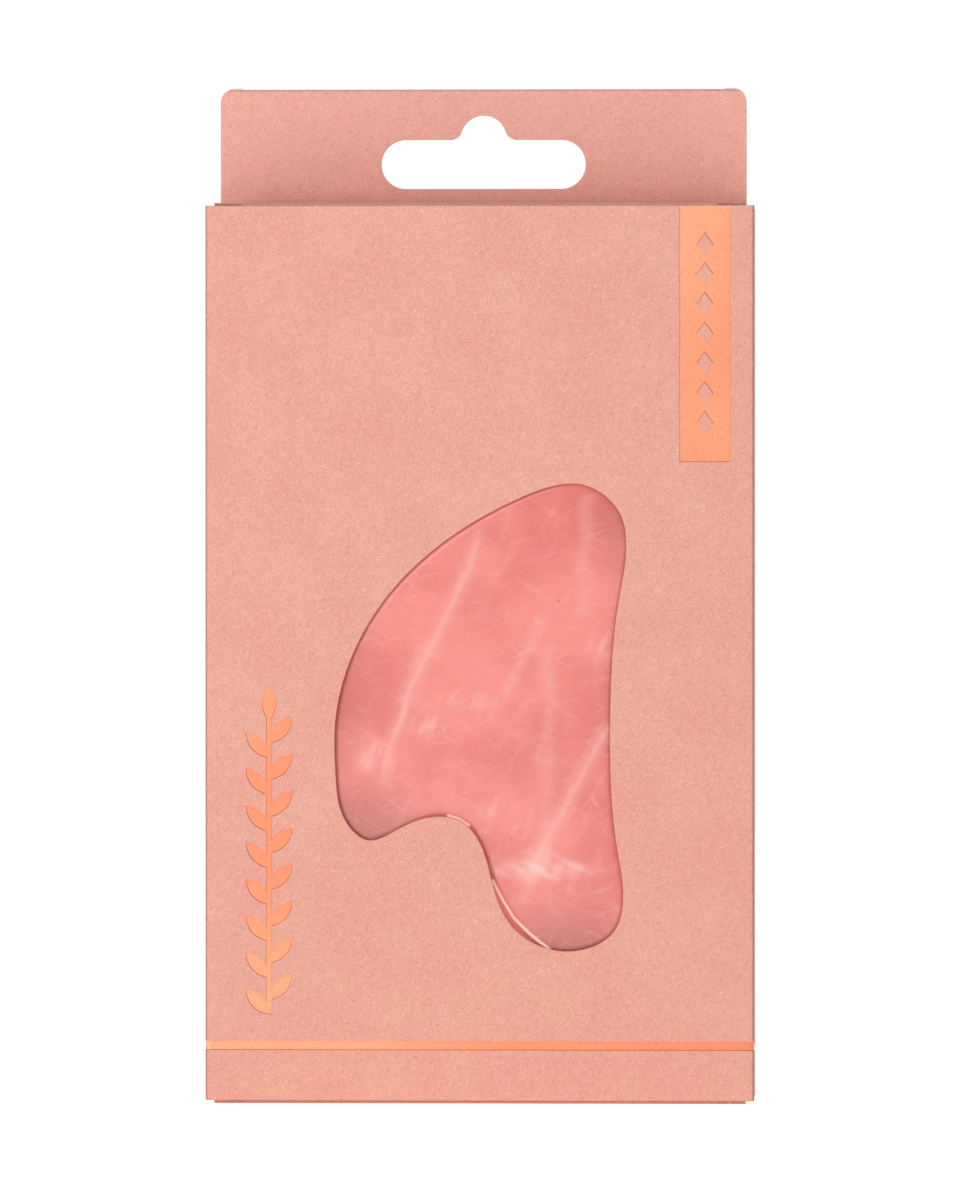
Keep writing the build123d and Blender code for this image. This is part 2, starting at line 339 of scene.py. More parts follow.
# %% [markdown]
# ## The board itself
#
# The same triangles make both faces of the board, and a thin chamfer and a cut edge join the two. Where
# hot foil is stamped, the print is pressed down by a few hundredths of a millimetre with sloping sides,
# because those slopes are what glints. The foil is a skin of its own over the pressed print.

# %% The board builder
CHAMFER = 0.07 * MM
STAMP_DEPTH, STAMP_SLOPE = 0.09 * MM, 0.12 * MM
FOIL_THICK = 0.012 * MM
FOIL_GAP = 0.0012 * MM
PRINT, PLAIN, CUT = 0, 1, 2


class Board:
    """A die-cut, stamped and folded sheet. place turns a point of the fold and a width into a 3-D point."""

    def __init__(self, folds, place, loops, stamps=()):
        self.folds, self.place = folds, place
        loops = facing(loops)
        cut = [offset(loop, CHAMFER) for loop in loops]
        pressed = [offset(loop, STAMP_SLOPE) for s in stamps for loop in facing(s)]
        half = [[offset(loop, STAMP_SLOPE / 2) for loop in facing(s)] for s in stamps]
        low, high = np.min(loops[0], axis=0), np.max(loops[0], axis=0)
        lines = [(d, low[1] - MM, high[1] + MM) for d in folds.lines if low[0] < d < high[0]]
        every = [*cut, *[loop for s in stamps for loop in facing(s)], *pressed]
        self.flat, faces = triangles(every, lines)
        middles = [self.flat[f].mean(axis=0) for f in faces]
        keep = inside(middles, cut)
        self.faces = [f if signed_area(self.flat[f]) > 0 else f[::-1] for f, k in zip(faces, keep) if k]
        middles = [self.flat[f].mean(axis=0) for f in self.faces]
        self.stamped = [inside(middles, s) for s in stamps]
        self.depth = np.zeros(len(self.flat))
        for loops_half in half:
            self.depth[inside(self.flat, loops_half)] = STAMP_DEPTH

    def point(self, spot, depth):
        return self.place(self.folds.at(spot[0], depth), spot[1])

    def mesh(self, name, materials):
        """The board as a closed mesh: print, plain back, and a chamfered cut edge between them."""
        edges = rim(self.faces)
        onward, backward = dict(edges), {b: a for a, b in edges}
        pushed = {}
        for v in onward:
            ring = self.flat[[backward[v], v, onward[v]]]
            pushed[v] = offset(ring, -CHAMFER)[1]
        count = len(self.flat)
        points = [self.point(p, d) for p, d in zip(self.flat, self.depth)]
        points += [self.point(pushed.get(i, p), BOARD) for i, p in enumerate(self.flat)]
        faces = list(self.faces) + [[count + v for v in f[::-1]] for f in self.faces]
        kinds = [PRINT] * len(self.faces) + [PLAIN] * len(self.faces)
        brink = {}
        for v in onward:
            brink[v] = len(points)
            points.append(self.point(pushed[v], CHAMFER))
        for a, b in edges:
            faces += [[b, a, brink[a], brink[b]], [brink[b], brink[a], count + a, count + b]]
            kinds += [PRINT, CUT]
        return solid_object(name, points, faces, kinds, materials)

    def foil(self, number, name, materials):
        """A skin of foil over stamp number, following its slopes."""
        faces = [f for f, on in zip(self.faces, self.stamped[number]) if on]
        used = sorted({v for f in faces for v in f})
        index = {v: i for i, v in enumerate(used)}
        points = [self.point(self.flat[v], self.depth[v] - FOIL_THICK) for v in used]
        points += [self.point(self.flat[v], self.depth[v] - FOIL_GAP) for v in used]
        top = [[index[v] for v in f] for f in faces]
        count = len(used)
        solid = top + [[count + v for v in f[::-1]] for f in top]
        solid += [[b, a, count + a, count + b] for a, b in rim(top)]
        return solid_object(name, points, solid, [0] * len(solid), materials)


print("board:", round(BOARD / MM, 3), "mm, stamped", round(STAMP_DEPTH / MM, 3), "mm deep")

# %% [markdown]
# ## Writing shader maths as arithmetic
#
# A material is a graph of nodes. Wiring a sum by hand takes three lines, so a formula soon becomes
# unreadable. `Signal` wraps a node's output and overloads the operators: numbers go to Math nodes, and
# vectors to Vector Math. Colours are only ever mixed, because a Math node would turn them grey.

# %% Colours and signals
def rgb(red, green, blue):
    """A linear colour from the 0 to 255 values that a colour picker shows."""
    def linear(value):
        value /= 255
        return value / 12.92 if value <= 0.04045 else ((value + 0.055) / 1.055) ** 2.4
    return (linear(red), linear(green), linear(blue), 1.0)


class Signal:
    """A socket that can be used in arithmetic."""

    def __init__(self, finish, socket):
        self.finish, self.socket = finish, socket

    def join(self, operation, *terms, out=0):
        vector = any(isinstance(t, Signal) and t.socket.type in ("VECTOR", "RGBA") for t in terms)
        kind = "ShaderNodeVectorMath" if vector else "ShaderNodeMath"
        if vector:
            terms = [(t,) * 3 if isinstance(t, (int, float)) else t for t in terms]
        return self.finish.node(kind, {"operation": operation}, dict(enumerate(terms)), out)

    def __add__(self, other):
        return self.join("ADD", self, other)

    def __sub__(self, other):
        return self.join("SUBTRACT", self, other)

    def __rsub__(self, other):
        return self.join("SUBTRACT", other, self)

    def __mul__(self, other):
        return self.join("MULTIPLY", self, other)

    __radd__, __rmul__ = __add__, __mul__

    def dot(self, other):
        return self.join("DOT_PRODUCT", self, other, out="Value")

    def length(self):
        return self.join("LENGTH", self, out="Value")

    def part(self, axis):
        """One component of a vector: X, Y or Z."""
        return self.finish.node("ShaderNodeSeparateXYZ", sockets={0: self}, out=axis)

    def unsigned(self):
        return self.join("ABSOLUTE", self)

    def least(self, other):
        return self.join("MINIMUM", self, other)

    def most(self, other):
        return self.join("MAXIMUM", self, other)

    def fade(self, start, end):
        """0 at start and 1 at end, with a soft shoulder at both."""
        sockets = {"Value": self, "From Min": start, "From Max": end}
        return self.finish.node("ShaderNodeMapRange", {"interpolation_type": "SMOOTHSTEP"}, sockets)


print("rgb(241, 177, 156) is", [round(value, 3) for value in rgb(241, 177, 156)])

# %% [markdown]
# ## One class for a material
#
# `Finish` is one material. Its `node` method adds any node that has no operator of its own, and the
# methods below it are the few nodes that come back all the time.

# %% The Finish class
class Finish:
    """A material. node() adds any node to it: its settings first, then the values of its sockets."""

    def __init__(self, name, **shader):
        self.material = bpy.data.materials.new(name)
        self.material.use_nodes = True
        self.tree = self.material.node_tree
        self.shader = self.tree.nodes["Principled BSDF"]
        for socket, value in shader.items():
            self.shader.inputs[socket.replace("_", " ")].default_value = value
        self.here = self.node("ShaderNodeTexCoord", out="Object")

    def node(self, kind, settings=None, sockets=None, out=0):
        made = self.tree.nodes.new(kind)
        for setting, value in (settings or {}).items():
            setattr(made, setting, value)
        for socket, value in (sockets or {}).items():
            self.feed(made.inputs[socket], value)
        return Signal(self, made.outputs[out])

    def feed(self, socket, value):
        if isinstance(value, Signal):
            self.tree.links.new(value.socket, socket)
        else:
            socket.default_value = value

    def set(self, socket, signal):
        """Feeds one input of the shader."""
        self.feed(self.shader.inputs[socket], signal)

    def mix(self, factor, first, second):
        """From the first colour, at factor 0, to the second, at factor 1."""
        return self.node("ShaderNodeMix", {"data_type": "RGBA"}, {0: factor, 6: first, 7: second}, out=2)

    def noise(self, size, detail=2.0, where=None, out=0, rough=0.5):
        """Noise whose blotches are about size metres across."""
        sockets = {"Scale": 1 / size, "Detail": detail, "Roughness": rough, "Vector": where or self.here}
        return self.node("ShaderNodeTexNoise", sockets=sockets, out=out)

    def emboss(self, height, distance, strength):
        """Turns a height from 0 to 1 into a bump that is distance metres tall."""
        sockets = {"Height": height, "Distance": distance, "Strength": strength}
        return self.node("ShaderNodeBump", sockets=sockets)

    def stretched(self, *factors, turn=(0, 0, 0)):
        """The place on the piece, with each axis stretched by a factor and then all of them turned."""
        sockets = {"Vector": self.here, "Rotation": tuple(math.radians(t) for t in turn), "Scale": factors}
        return self.node("ShaderNodeMapping", {"vector_type": "TEXTURE"}, sockets)


print("a finish can:", [name for name in vars(Finish) if not name.startswith("_")])

# %% [markdown]
# ## Pearl board
#
# The carton is printed with a pearly coral ink on grained stock. Close up it is not one colour at all:
# short fibres lie in every direction, the ink gathers in mottles a millimetre or two across, and flecks
# of pearl pigment catch the light. Each of these is a noise of its own size, and they are mixed over a
# base colour. A fibre is a noise stretched along one direction: a Mapping node of the type Texture
# stretches first and then turns, so the strokes can lie any way. The fibres also raise a very shallow
# relief, which a bump node gives. Along the side creases and the foot of the front, a darker colour is
# painted in as painted shade.

# %% Printed pearl board
CORAL = rgb(241, 177, 156)
CORAL_DEEP = rgb(196, 116, 101)
CORAL_PINK = rgb(240, 163, 150)
CORAL_PALE = rgb(255, 216, 202)
# Painted shade colour for the front's side creases and its foot.
CORAL_PAINTED_SHADE = rgb(150, 84, 74)
# A lighter, pinker copy of the coral for the header: painted light and painted pink bounce from the lid.
HEADER_PAINTED_BOUNCE = rgb(255, 184, 168)


def fibres(finish, turn, long=0.9 * MM, thin=0.17 * MM):
    """Short strokes lying along one direction, on every face of the board."""
    lying = finish.stretched(long / thin, 1.0, 1.0, turn=turn)
    return finish.noise(thin, detail=1.0, where=lying)


def painted_crease_shade(board):
    """Painted shade: 1 where the front bends round to the sides, and along its foot."""
    sideways, inwards, up = (board.here.part(axis) for axis in (X, Y, Z))
    corner = sideways.unsigned().fade(SIDE - 0.45 * MM, SIDE - 0.1 * MM)
    corner = corner * inwards.fade(FRONT + 0.9 * MM, FRONT + 0.4 * MM)
    foot = up.fade(front_low.z + 0.12 * MM, front_low.z)
    return corner.most(foot * inwards.fade(FRONT + 1.6 * MM, FRONT + 1.1 * MM))


def printed_board(name, bounce_shift, pink=CORAL_PINK):
    """The print, from warm coral at 0 to the pink colour at 1. A shift above 0 is painted light and painted
    pink bounce for a shaded ply.
    """
    board = Finish(name, Specular_IOR_Level=0.4, Sheen_Weight=0.1, Sheen_Roughness=0.4)
    mottle = board.noise(1.5 * MM, detail=3.0).fade(0.36, 0.68)
    cloud = board.noise(11 * MM, detail=3.0).fade(0.32, 0.66)
    grain = board.noise(0.21 * MM, detail=2.0, rough=0.65)
    strokes = fibres(board, (0, 5, 0)).most(fibres(board, (0, 62, 0))).most(fibres(board, (20, -50, 0)))
    dark_fibre = fibres(board, (0, 88, 0)).least(fibres(board, (0, 28, 0)))
    fleck = board.noise(0.2 * MM, detail=0.0).fade(0.7, 0.8)
    ink = CORAL
    for amount, colour in (
        # Cloud mottling is real tone; the shift added to it is painted light and painted pink bounce.
        (cloud * 0.55 + bounce_shift, pink),
        (mottle * 0.09, CORAL_DEEP),
        (grain.fade(0.3, 0.72) * 0.3, CORAL_DEEP),
        (dark_fibre.fade(0.42, 0.28) * 0.35, CORAL_DEEP),
        (strokes.fade(0.6, 0.78) * 0.4, CORAL_PALE),
        (fleck * 0.75, CORAL_PALE),
        # Painted shade along the side creases and the foot of the front.
        (painted_crease_shade(board) * 0.6, CORAL_PAINTED_SHADE),
    ):
        ink = board.mix(amount, ink, colour)
    board.set("Base Color", ink)
    board.set("Roughness", 0.62 - 0.2 * strokes.fade(0.58, 0.8) - 0.2 * fleck)
    board.set("Normal", board.emboss(grain + strokes, 0.012 * MM, 0.8))
    print("finish:", board.material.name)
    return board.material


# %% [markdown]
# ## The inside of the board, and its cut edge
#
# Inside the carton the board is bare: uncoated, off-white and fibrous. Where the die cut through it, the
# edge is a line of torn fibres, stained by the print, with bits of the pale core between. The edge is
# only half a millimetre wide, so a fine noise for the fluff and a wider one for the pale bits are enough.

# %% Bare board and cut edges
def bare_board():
    board = Finish("bare_board", Specular_IOR_Level=0.25)
    pulp = board.noise(0.5 * MM, detail=4.0, rough=0.7)
    specks = board.noise(0.35 * MM, detail=0.0).fade(0.76, 0.82)
    colour = board.mix(pulp.fade(0.35, 0.7) * 0.5, rgb(247, 240, 232), rgb(228, 216, 205))
    board.set("Base Color", board.mix(specks * 0.5, colour, rgb(176, 152, 136)))
    board.set("Roughness", 0.8 + 0.12 * pulp)
    board.set("Normal", board.emboss(pulp, 0.03 * MM, 0.6))
    return board.material


def cut_edge():
    board = Finish("cut_edge", Specular_IOR_Level=0.2)
    fluff = board.noise(0.09 * MM, detail=3.0, rough=0.7)
    bright = board.noise(0.4 * MM, detail=1.0).fade(0.56, 0.7)
    colour = board.mix(fluff.fade(0.35, 0.7) * 0.8, rgb(226, 158, 142), rgb(182, 116, 102))
    board.set("Base Color", board.mix(bright * 0.35, colour, rgb(252, 226, 214)))
    board.set("Roughness", 0.85 + 0.1 * fluff)
    board.set("Normal", board.emboss(fluff, 0.04 * MM, 0.8))
    return board.material


# %% [markdown]
# ## Hot foil
#
# Foil is a metal film pressed on by a heated die. It shines, but the grain of the board shows through
# as a fine roughness, and here and there a pinhole is left where the film didn't take. It is metallic
# everywhere, its roughness follows the grain, and its tint drifts slowly from gold to copper.

# %% Rose-gold foil
FOIL_GOLD = rgb(255, 177, 138)
FOIL_COPPER = rgb(252, 155, 118)


def hot_foil():
    foil = Finish("rose_gold_foil", Metallic=1.0)
    grain = foil.noise(0.22 * MM, detail=3.0, rough=0.65)
    drift = foil.noise(34 * MM, detail=1.0)
    pinholes = foil.noise(0.17 * MM, detail=0.0).fade(0.76, 0.81)
    colour = foil.mix(drift.fade(0.35, 0.65), FOIL_GOLD, FOIL_COPPER)
    colour = foil.mix(grain.fade(0.5, 0.8) * 0.25, colour, rgb(222, 134, 102))
    foil.set("Base Color", foil.mix(pinholes * 0.6, colour, rgb(164, 96, 76)))
    foil.set("Roughness", 0.33 + 0.22 * grain)
    foil.set("Normal", foil.emboss(grain, 0.02 * MM, 0.6))
    return foil.material


# %% [markdown]
# ## Rose quartz: finding a place on the stone
#
# Rose quartz is cloudy, not clear: light goes a few millimetres in and comes back pink. What makes a
# polished piece look real is what lies inside it, which is healed fractures that show as pale veils,
# wisps and threads, darker pink where the stone is thick, and a burst of tiny cracks. Noise alone puts
# them anywhere. So two helpers measure places: `nearness` says how close a point is to a line of
# straight stretches, and `patches` gives soft ellipses.

# %% Lines and patches in the stone
QUARTZ = rgb(249, 147, 138)
QUARTZ_DEEP = rgb(232, 126, 118)
# Partly the stone's deeper colour and partly painted shade, for the patches near the edges.
QUARTZ_GREY_SHADE = rgb(198, 114, 104)
QUARTZ_PALE = rgb(255, 186, 176)
QUARTZ_WHITE = rgb(255, 214, 204)
# Painted highlight colour for the pale line along the lobe's shoulder.
QUARTZ_PAINTED_HIGHLIGHT = rgb(255, 226, 218)
QUARTZ_SPECK = rgb(176, 84, 76)
# Painted light: an emission colour that makes the rolled rim glow.
RIM_PAINTED_GLOW = rgb(146, 88, 80)
# Painted highlight: the emission colour on the shoulder line.
HIGHLIGHT_PAINTED_GLOW = rgb(176, 132, 124)
BLACK = (0, 0, 0, 1)


def spot(x, z):
    """A place on the stone's face, from millimetres across and up."""
    return (x * MM, 0.0, z * MM)


def strongest(masks):
    """The highest of several masks, at every place."""
    highest, *others = masks
    for mask in others:
        highest = highest.most(mask)
    return highest


def nearness(here, points, core, reach):
    """1 along a chain of points, fading to 0 at reach metres from it."""
    nearest = None
    for a, b in zip(points, points[1:]):
        a, b = Vector(spot(*a)), Vector(spot(*b))
        run = b - a
        share = (here - tuple(a)).dot(tuple(run / run.length_squared)).most(0.0).least(1.0)
        along = here.finish.node("ShaderNodeCombineXYZ", sockets={0: share * run.x, 2: share * run.z})
        gone = (here - tuple(a) - along).length()
        nearest = gone if nearest is None else nearest.least(gone)
    return nearest.fade(reach, core)


def patches(here, rows):
    """Soft ellipses, each given by its centre, half width, half height (all in mm) and strength."""
    masks = []
    for centre, across, up, strength in rows:
        scaled = (here - spot(*centre)) * (1 / (across * MM), 0.0, 1 / (up * MM))
        masks.append(scaled.length().fade(1.0, 0.1) * strength)
    return strongest(masks)


def veil(here, line, wide, thin, softness):
    """A veil along a line: a wide soft band with a thinner, clearer one inside it."""
    outer, inner = nearness(here, line, 0.0, wide * MM), nearness(here, line, 0.0, thin * MM)
    return softness * outer + (1 - softness) * inner


print("stone colours:", len([QUARTZ, QUARTZ_DEEP, QUARTZ_GREY_SHADE, QUARTZ_PALE, QUARTZ_WHITE]))

# %% [markdown]
# ## Rose quartz: where the veils lie
#
# The long veil runs down the wide part of the stone, a second one down the narrow part to the burst of
# cracks, and three faint ones lie beside them. The greyer patches near the edges are partly the stone's
# deeper colour where it is thick and partly painted shade where the face turns away. The numbers are
# millimetres across and up, as for the rest of the model.

# %% Veils, patches and the painted highlight line
MAIN_VEIL = [(0.9, 90.0), (-5.8, 73.9), (-10.7, 64.2), (-14.0, 54.6), (-16.5, 45.0)]
LOW_VEIL = [(19.8, 57.9), (15.9, 51.2), (13.0, 45.4), (9.2, 38.6), (5.8, 29.4)]
SIDE_VEILS = [([(9.2, 74.4), (4.3, 64.2)], 1.8), ([(16.9, 93.2), (15.9, 76.3)], 2.0),
              ([(11.0, 70.0), (10.2, 39.0)], 2.0)]
BURST = [((10.2, 36.3), 11.0, 2.8, 1.0), ((9.8, 36.8), 5.0, 3.8, 0.9)]
CLOUDLETS = [((-16.5, 53.5), 5.0, 3.6, 1.0), ((-8.7, 58.5), 3.8, 2.8, 1.0), ((-1.5, 62.3), 7.0, 2.4, 1.0),
             ((19.0, 71.0), 4.0, 3.6, 1.0), ((3.0, 46.0), 5.0, 3.0, 0.6)]
# Greyer patches near the edges: partly deeper colour where the stone is thick, partly painted shade where
# the face turns away.
GREY_SHADE_PATCHES = [((13.0, 23.0), 17.0, 13.0, 1.0), ((-20.0, 42.0), 15.0, 13.0, 1.0),
                ((23.0, 92.0), 8.0, 16.0, 0.75), ((24.0, 60.0), 6.0, 30.0, 0.6),
                ((-27.0, 62.0), 14.0, 34.0, 0.75)]
# Points of the painted highlight line along the lower lobe's shoulder and the notch.
LOBE_HIGHLIGHT_LINE = [(2.0, 34.5), (3.4, 31.7), (5.2, 28.8), (7.4, 26.6), (9.2, 25.1), (10.8, 24.0)]
NOTCH_HIGHLIGHT_LINE = [(-4.9, 44.6), (-3.2, 44.1), (-1.7, 43.1)]

print("veils:", 2 + len(SIDE_VEILS), "cloudlets:", len(CLOUDLETS), "grey patches:", len(GREY_SHADE_PATCHES))

# %% [markdown]
# ## Rose quartz: the finish
#
# Before any distance is measured, noise pushes the place about, so that no veil has a straight edge.
# The colours are then laid over each other like glazes, from the body outwards. The pale line along the
# shoulder of the lower lobe and of the notch is a painted highlight, and it glows a little as well. At the
# rim the stone is thin and light comes through it; a faint emission colour on the rolled edge paints that
# light in.

# %% The stone's finish
def stone_colour(stone):
    """The colour inside the stone, and the mask of the painted highlight line along its shoulder."""
    face = stone.here * (1.0, 0.0, 1.0)
    push = (stone.noise(7 * MM, detail=4.0, out="Color") - 0.5) * (3.2 * MM) * (1.0, 0.0, 1.0)
    near, far = face + push * 0.45, face + push
    up = stone.here.part(Z)

    cloud = stone.noise(13 * MM, detail=4.0, where=stone.here + push * 0.8)
    wisps = stone.noise(4 * MM, detail=6.0, rough=0.6,
                        where=stone.stretched(0.5, 1.0, 1.6, turn=(0, 24, 0)))
    threads = stone.noise(2.6 * MM, detail=5.0, rough=0.6,
                          where=stone.stretched(1.7, 1.0, 0.28, turn=(0, -19, 0)))
    cross = stone.noise(3.4 * MM, detail=5.0, where=stone.stretched(1.8, 1.0, 0.3, turn=(0, 31, 0)))

    main_veil = veil(near, MAIN_VEIL, 2.4, 0.9, 0.55)
    main_veil = main_veil * up.fade(45 * MM, 60 * MM) * up.fade(91 * MM, 84 * MM)
    low_veil = veil(near, LOW_VEIL, 2.3, 0.8, 0.6) * up.fade(27 * MM, 40 * MM)
    side_veils = strongest(nearness(far, line, 0.0, wide * MM) for line, wide in SIDE_VEILS)
    burst_spread = 0.16 + 0.26 * wisps.fade(0.28, 0.66) + 0.34 * cross.fade(0.4, 0.66)
    cracks = stone.node("ShaderNodeTexVoronoi", {"feature": "DISTANCE_TO_EDGE"},
                        {"Vector": far * (0.6, 1.0, 1.0), "Scale": 1 / (4.5 * MM)}).fade(0.025, 0.0)
    patchy = stone.noise(6 * MM, detail=1.0).fade(0.62, 0.74)
    specks = stone.noise(0.9 * MM, detail=0.0).fade(0.85, 0.88)
    # A painted highlight along the lower lobe's shoulder and the notch.
    shoulder = nearness(face, LOBE_HIGHLIGHT_LINE, 0.05 * MM, 0.38 * MM).most(
        nearness(face, NOTCH_HIGHLIGHT_LINE, 0.05 * MM, 0.35 * MM))

    body = QUARTZ_DEEP
    for amount, colour in (
        (cloud.fade(0.34, 0.66), QUARTZ),
        # Partly deeper colour, partly painted shade near the edges.
        (patches(face, GREY_SHADE_PATCHES) * 0.8, QUARTZ_GREY_SHADE),
        (wisps.fade(0.5, 0.74) * 0.22, QUARTZ_PALE),
        (threads.fade(0.52, 0.76) * 0.26, QUARTZ_PALE),
        (cross.fade(0.54, 0.76) * 0.2, QUARTZ_PALE),
        (side_veils * (0.06 + 0.4 * threads), QUARTZ_PALE),
        (main_veil * (0.3 + 0.6 * wisps), QUARTZ_PALE),
        (low_veil * (0.25 + 0.65 * wisps), QUARTZ_PALE),
        (patches(far, CLOUDLETS) * wisps.fade(0.36, 0.64) * 0.6, QUARTZ_PALE),
        (patches(near, BURST) * burst_spread, QUARTZ_WHITE),
        (cracks * patchy * 0.2, QUARTZ_WHITE),
        # The painted highlight line.
        (shoulder * 0.75, QUARTZ_PAINTED_HIGHLIGHT),
        (specks * 0.6, QUARTZ_SPECK),
    ):
        body = stone.mix(amount, body, colour)
    return body, shoulder


def rose_quartz():
    stone = Finish("rose_quartz", Subsurface_Weight=0.16, Subsurface_Scale=0.004,
                   Subsurface_Radius=(1.0, 0.45, 0.38), Roughness=0.14, IOR=1.54,
                   Coat_Weight=0.35, Coat_Roughness=0.05, Emission_Strength=1.0)
    body, shoulder = stone_colour(stone)
    stone.set("Base Color", body)
    # Painted light: the rolled rim glows through Emission Color, and the highlight line glows paler.
    rolled = stone.node("ShaderNodeTexCoord", out="Normal").part(Y).unsigned().fade(0.95, 0.55)
    glow = stone.mix(rolled, BLACK, RIM_PAINTED_GLOW)
    stone.set("Emission Color", stone.mix(shoulder, glow, HIGHLIGHT_PAINTED_GLOW))
    polish = stone.noise(0.9 * MM, detail=3.0)
    stone.set("Roughness", 0.1 + 0.1 * polish)
    stone.set("Normal", stone.emboss(polish, 0.006 * MM, 0.3))
    print("finish:", stone.material.name, len(stone.tree.nodes), "nodes")
    return stone.material


# %% [markdown]
# ## Foam
#
# The cradle is die-cut polyurethane foam. Its surface is open cells a few tenths of a millimetre wide,
# with walls that stand up between pits. A Voronoi texture has just that pattern: it raises the walls with
# a bump and darkens the pits as painted shade.

# %% White cell foam
def cell_foam():
    foam = Finish("cell_foam", Specular_IOR_Level=0.2, Sheen_Weight=0.15)
    cells = foam.node("ShaderNodeTexVoronoi", {"feature": "DISTANCE_TO_EDGE"},
                      {"Vector": foam.here, "Scale": 1 / (0.55 * MM)})
    big = foam.node("ShaderNodeTexVoronoi", {"feature": "F1"},
                    {"Vector": foam.here, "Scale": 1 / (1.3 * MM)})
    drift = foam.noise(9 * MM, detail=2.0)
    pits = cells.fade(0.02, 0.22)
    # The pits and the middles of the larger cells are darkened as painted shade in the hollows.
    colour = foam.mix(pits * 0.55, rgb(248, 244, 238), rgb(206, 198, 190))
    colour = foam.mix(big.fade(0.25, 0.05) * 0.35, colour, rgb(178, 168, 160))
    foam.set("Base Color", foam.mix(drift.fade(0.4, 0.7) * 0.25, colour, rgb(238, 226, 212)))
    foam.set("Roughness", 0.9 + 0.08 * drift)
    foam.set("Normal", foam.emboss(1 - pits, 0.14 * MM, 0.8))
    print("finish:", foam.material.name)
    return foam.material


# %% [markdown]
# ## Making the finishes
#
# Each finish is made once and shared by its pieces, so that all the board looks cut from one sheet. Only
# the header has a lit copy of the print, pinker and lighter: painted light and painted pink bounce.

# %% All the finishes
PEARL = printed_board("pearl_board", 0.0)
# The header's copy is painted light and painted pink bounce, over the shade the lid gives it.
PEARL_PAINTED_BOUNCE = printed_board("pearl_board_painted_bounce", 0.75, HEADER_PAINTED_BOUNCE)
BARE, EDGE = bare_board(), cut_edge()
SHEET_FACES = [PEARL, BARE, EDGE]
FOIL, STONE, FOAM = hot_foil(), rose_quartz(), cell_foam()
print("materials:", [m.name for m in bpy.data.materials if m.use_nodes])

# %% [markdown]
# ## The sleeve
#
# The sleeve is one sheet: seam flap, left side, front, right side and back, with the hanging tab standing
# up from the back. Seen from above, the fold starts at the seam flap and goes round with the print
# outside. The label, the band and the sprig are stamped into it while it is flat.

# %% Where the sleeve folds
CREASE = 0.55 * MM
seam_low, seam_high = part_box("seam_flap")
side_low, side_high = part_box("left_side_panel")
tab_low, tab_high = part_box("tab_front_ply")

sleeve_folds = Folds(
    [(seam_high.x, seam_high.y), (-SIDE, seam_high.y), (-SIDE, FRONT), (SIDE, FRONT), (SIDE, BACK),
     (-SIDE, BACK)],
    [CREASE] * 4,
)
LEFT_RUN, FRONT_RUN, RIGHT_RUN, BACK_RUN = range(1, 5)


def seen_from_above(spot, z):
    """For boards folded about upright lines."""
    return (spot[0], spot[1], z)


def across(run, value):
    return sleeve_folds.on_run(run, value)


def on_front(loop):
    """A loop drawn on the front, as it lies on the flat sheet."""
    return [(across(FRONT_RUN, x), z) for x, z in loop]


def arc(centre, radius, start, end, steps=8):
    """Points along an arc, from one angle to another in degrees."""
    angles = [math.radians(start + (end - start) * i / steps) for i in range(steps + 1)]
    return [(centre[0] + radius * math.cos(a), centre[1] + radius * math.sin(a)) for a in angles]


print("sheet from seam flap to back edge, mm:", round(sleeve_folds.length / MM, 2))

# %% [markdown]
# ## The tab's outline
#
# The tab is two plies of board with one fold along the top. The fold stops short of the rounded
# corners, so each ply keeps its own corner there, a fraction of a millimetre taller than the fold.

# %% The tab's outline
TAB_CORNER = 2.3 * MM
FOLD_REACH = 37.7 * MM
FOLD_RADIUS = BOARD
FOLD_DROP = 0.23 * MM
fold_foot = TAB_TOP - FOLD_DROP - FOLD_RADIUS


def tab_edge(foot):
    """The right half of a tab ply's edge, as (x, z), from its foot up to the middle of the top."""
    half = tab_high.x
    corner = arc((half - TAB_CORNER, TAB_TOP - TAB_CORNER), TAB_CORNER, 0, 90)
    return [(half, foot), *corner, (FOLD_REACH, TAB_TOP), (FOLD_REACH, fold_foot)]


def mirrored(half):
    """An outline from its right half."""
    return half + [(-x, z) for x, z in half[::-1]]


print("tab edge:", len(tab_edge(PANEL_TOP)), "points a side")

# %% [markdown]
# ## The sleeve, laid flat
#
# The whole sleeve is one outline: distance along the print against height. The side panels are a little
# lower than the front, to leave room for the dust flaps, and each step in height is at the end of a
# crease, so that a corner bends at its full height. The seam flap tapers, as glue flaps do.

# %% The sleeve's flat outline
SEAM_TAPER = 6 * MM
seam_turn, front_left, front_right, back_turn = (sleeve_folds.crease_ends(n) for n in range(4))
tab = [(across(BACK_RUN, x), z) for x, z in mirrored(tab_edge(PANEL_TOP))]
top_edge = [
    (0.0, seam_high.z - SEAM_TAPER), (seam_turn[0], seam_high.z),
    (seam_turn[0], side_high.z), (front_left[0], side_high.z),
    (front_left[0], PANEL_TOP), (front_right[1], PANEL_TOP),
    (front_right[1], side_high.z), (back_turn[0], side_high.z),
    (back_turn[0], PANEL_TOP), *tab, (sleeve_folds.length, PANEL_TOP),
]
bottom_edge = [
    (sleeve_folds.length, front_low.z), (back_turn[0], front_low.z),
    (back_turn[0], side_low.z), (front_right[1], side_low.z),
    (front_right[1], front_low.z), (front_left[0], front_low.z),
    (front_left[0], side_low.z), (seam_turn[0], side_low.z),
    (seam_turn[0], seam_low.z), (0.0, seam_low.z + SEAM_TAPER),
]
slot_hole = [(across(BACK_RUN, x), z) for x, z in slot]
print("sleeve outline:", len(top_edge) + len(bottom_edge), "points")

# %% [markdown]
# ## Stamping and folding the sleeve
#
# The stamped shapes come from the foil nodes, so the foil lies just where the model has it. The band
# crosses both front corners: stamped flat, it bends with the board.

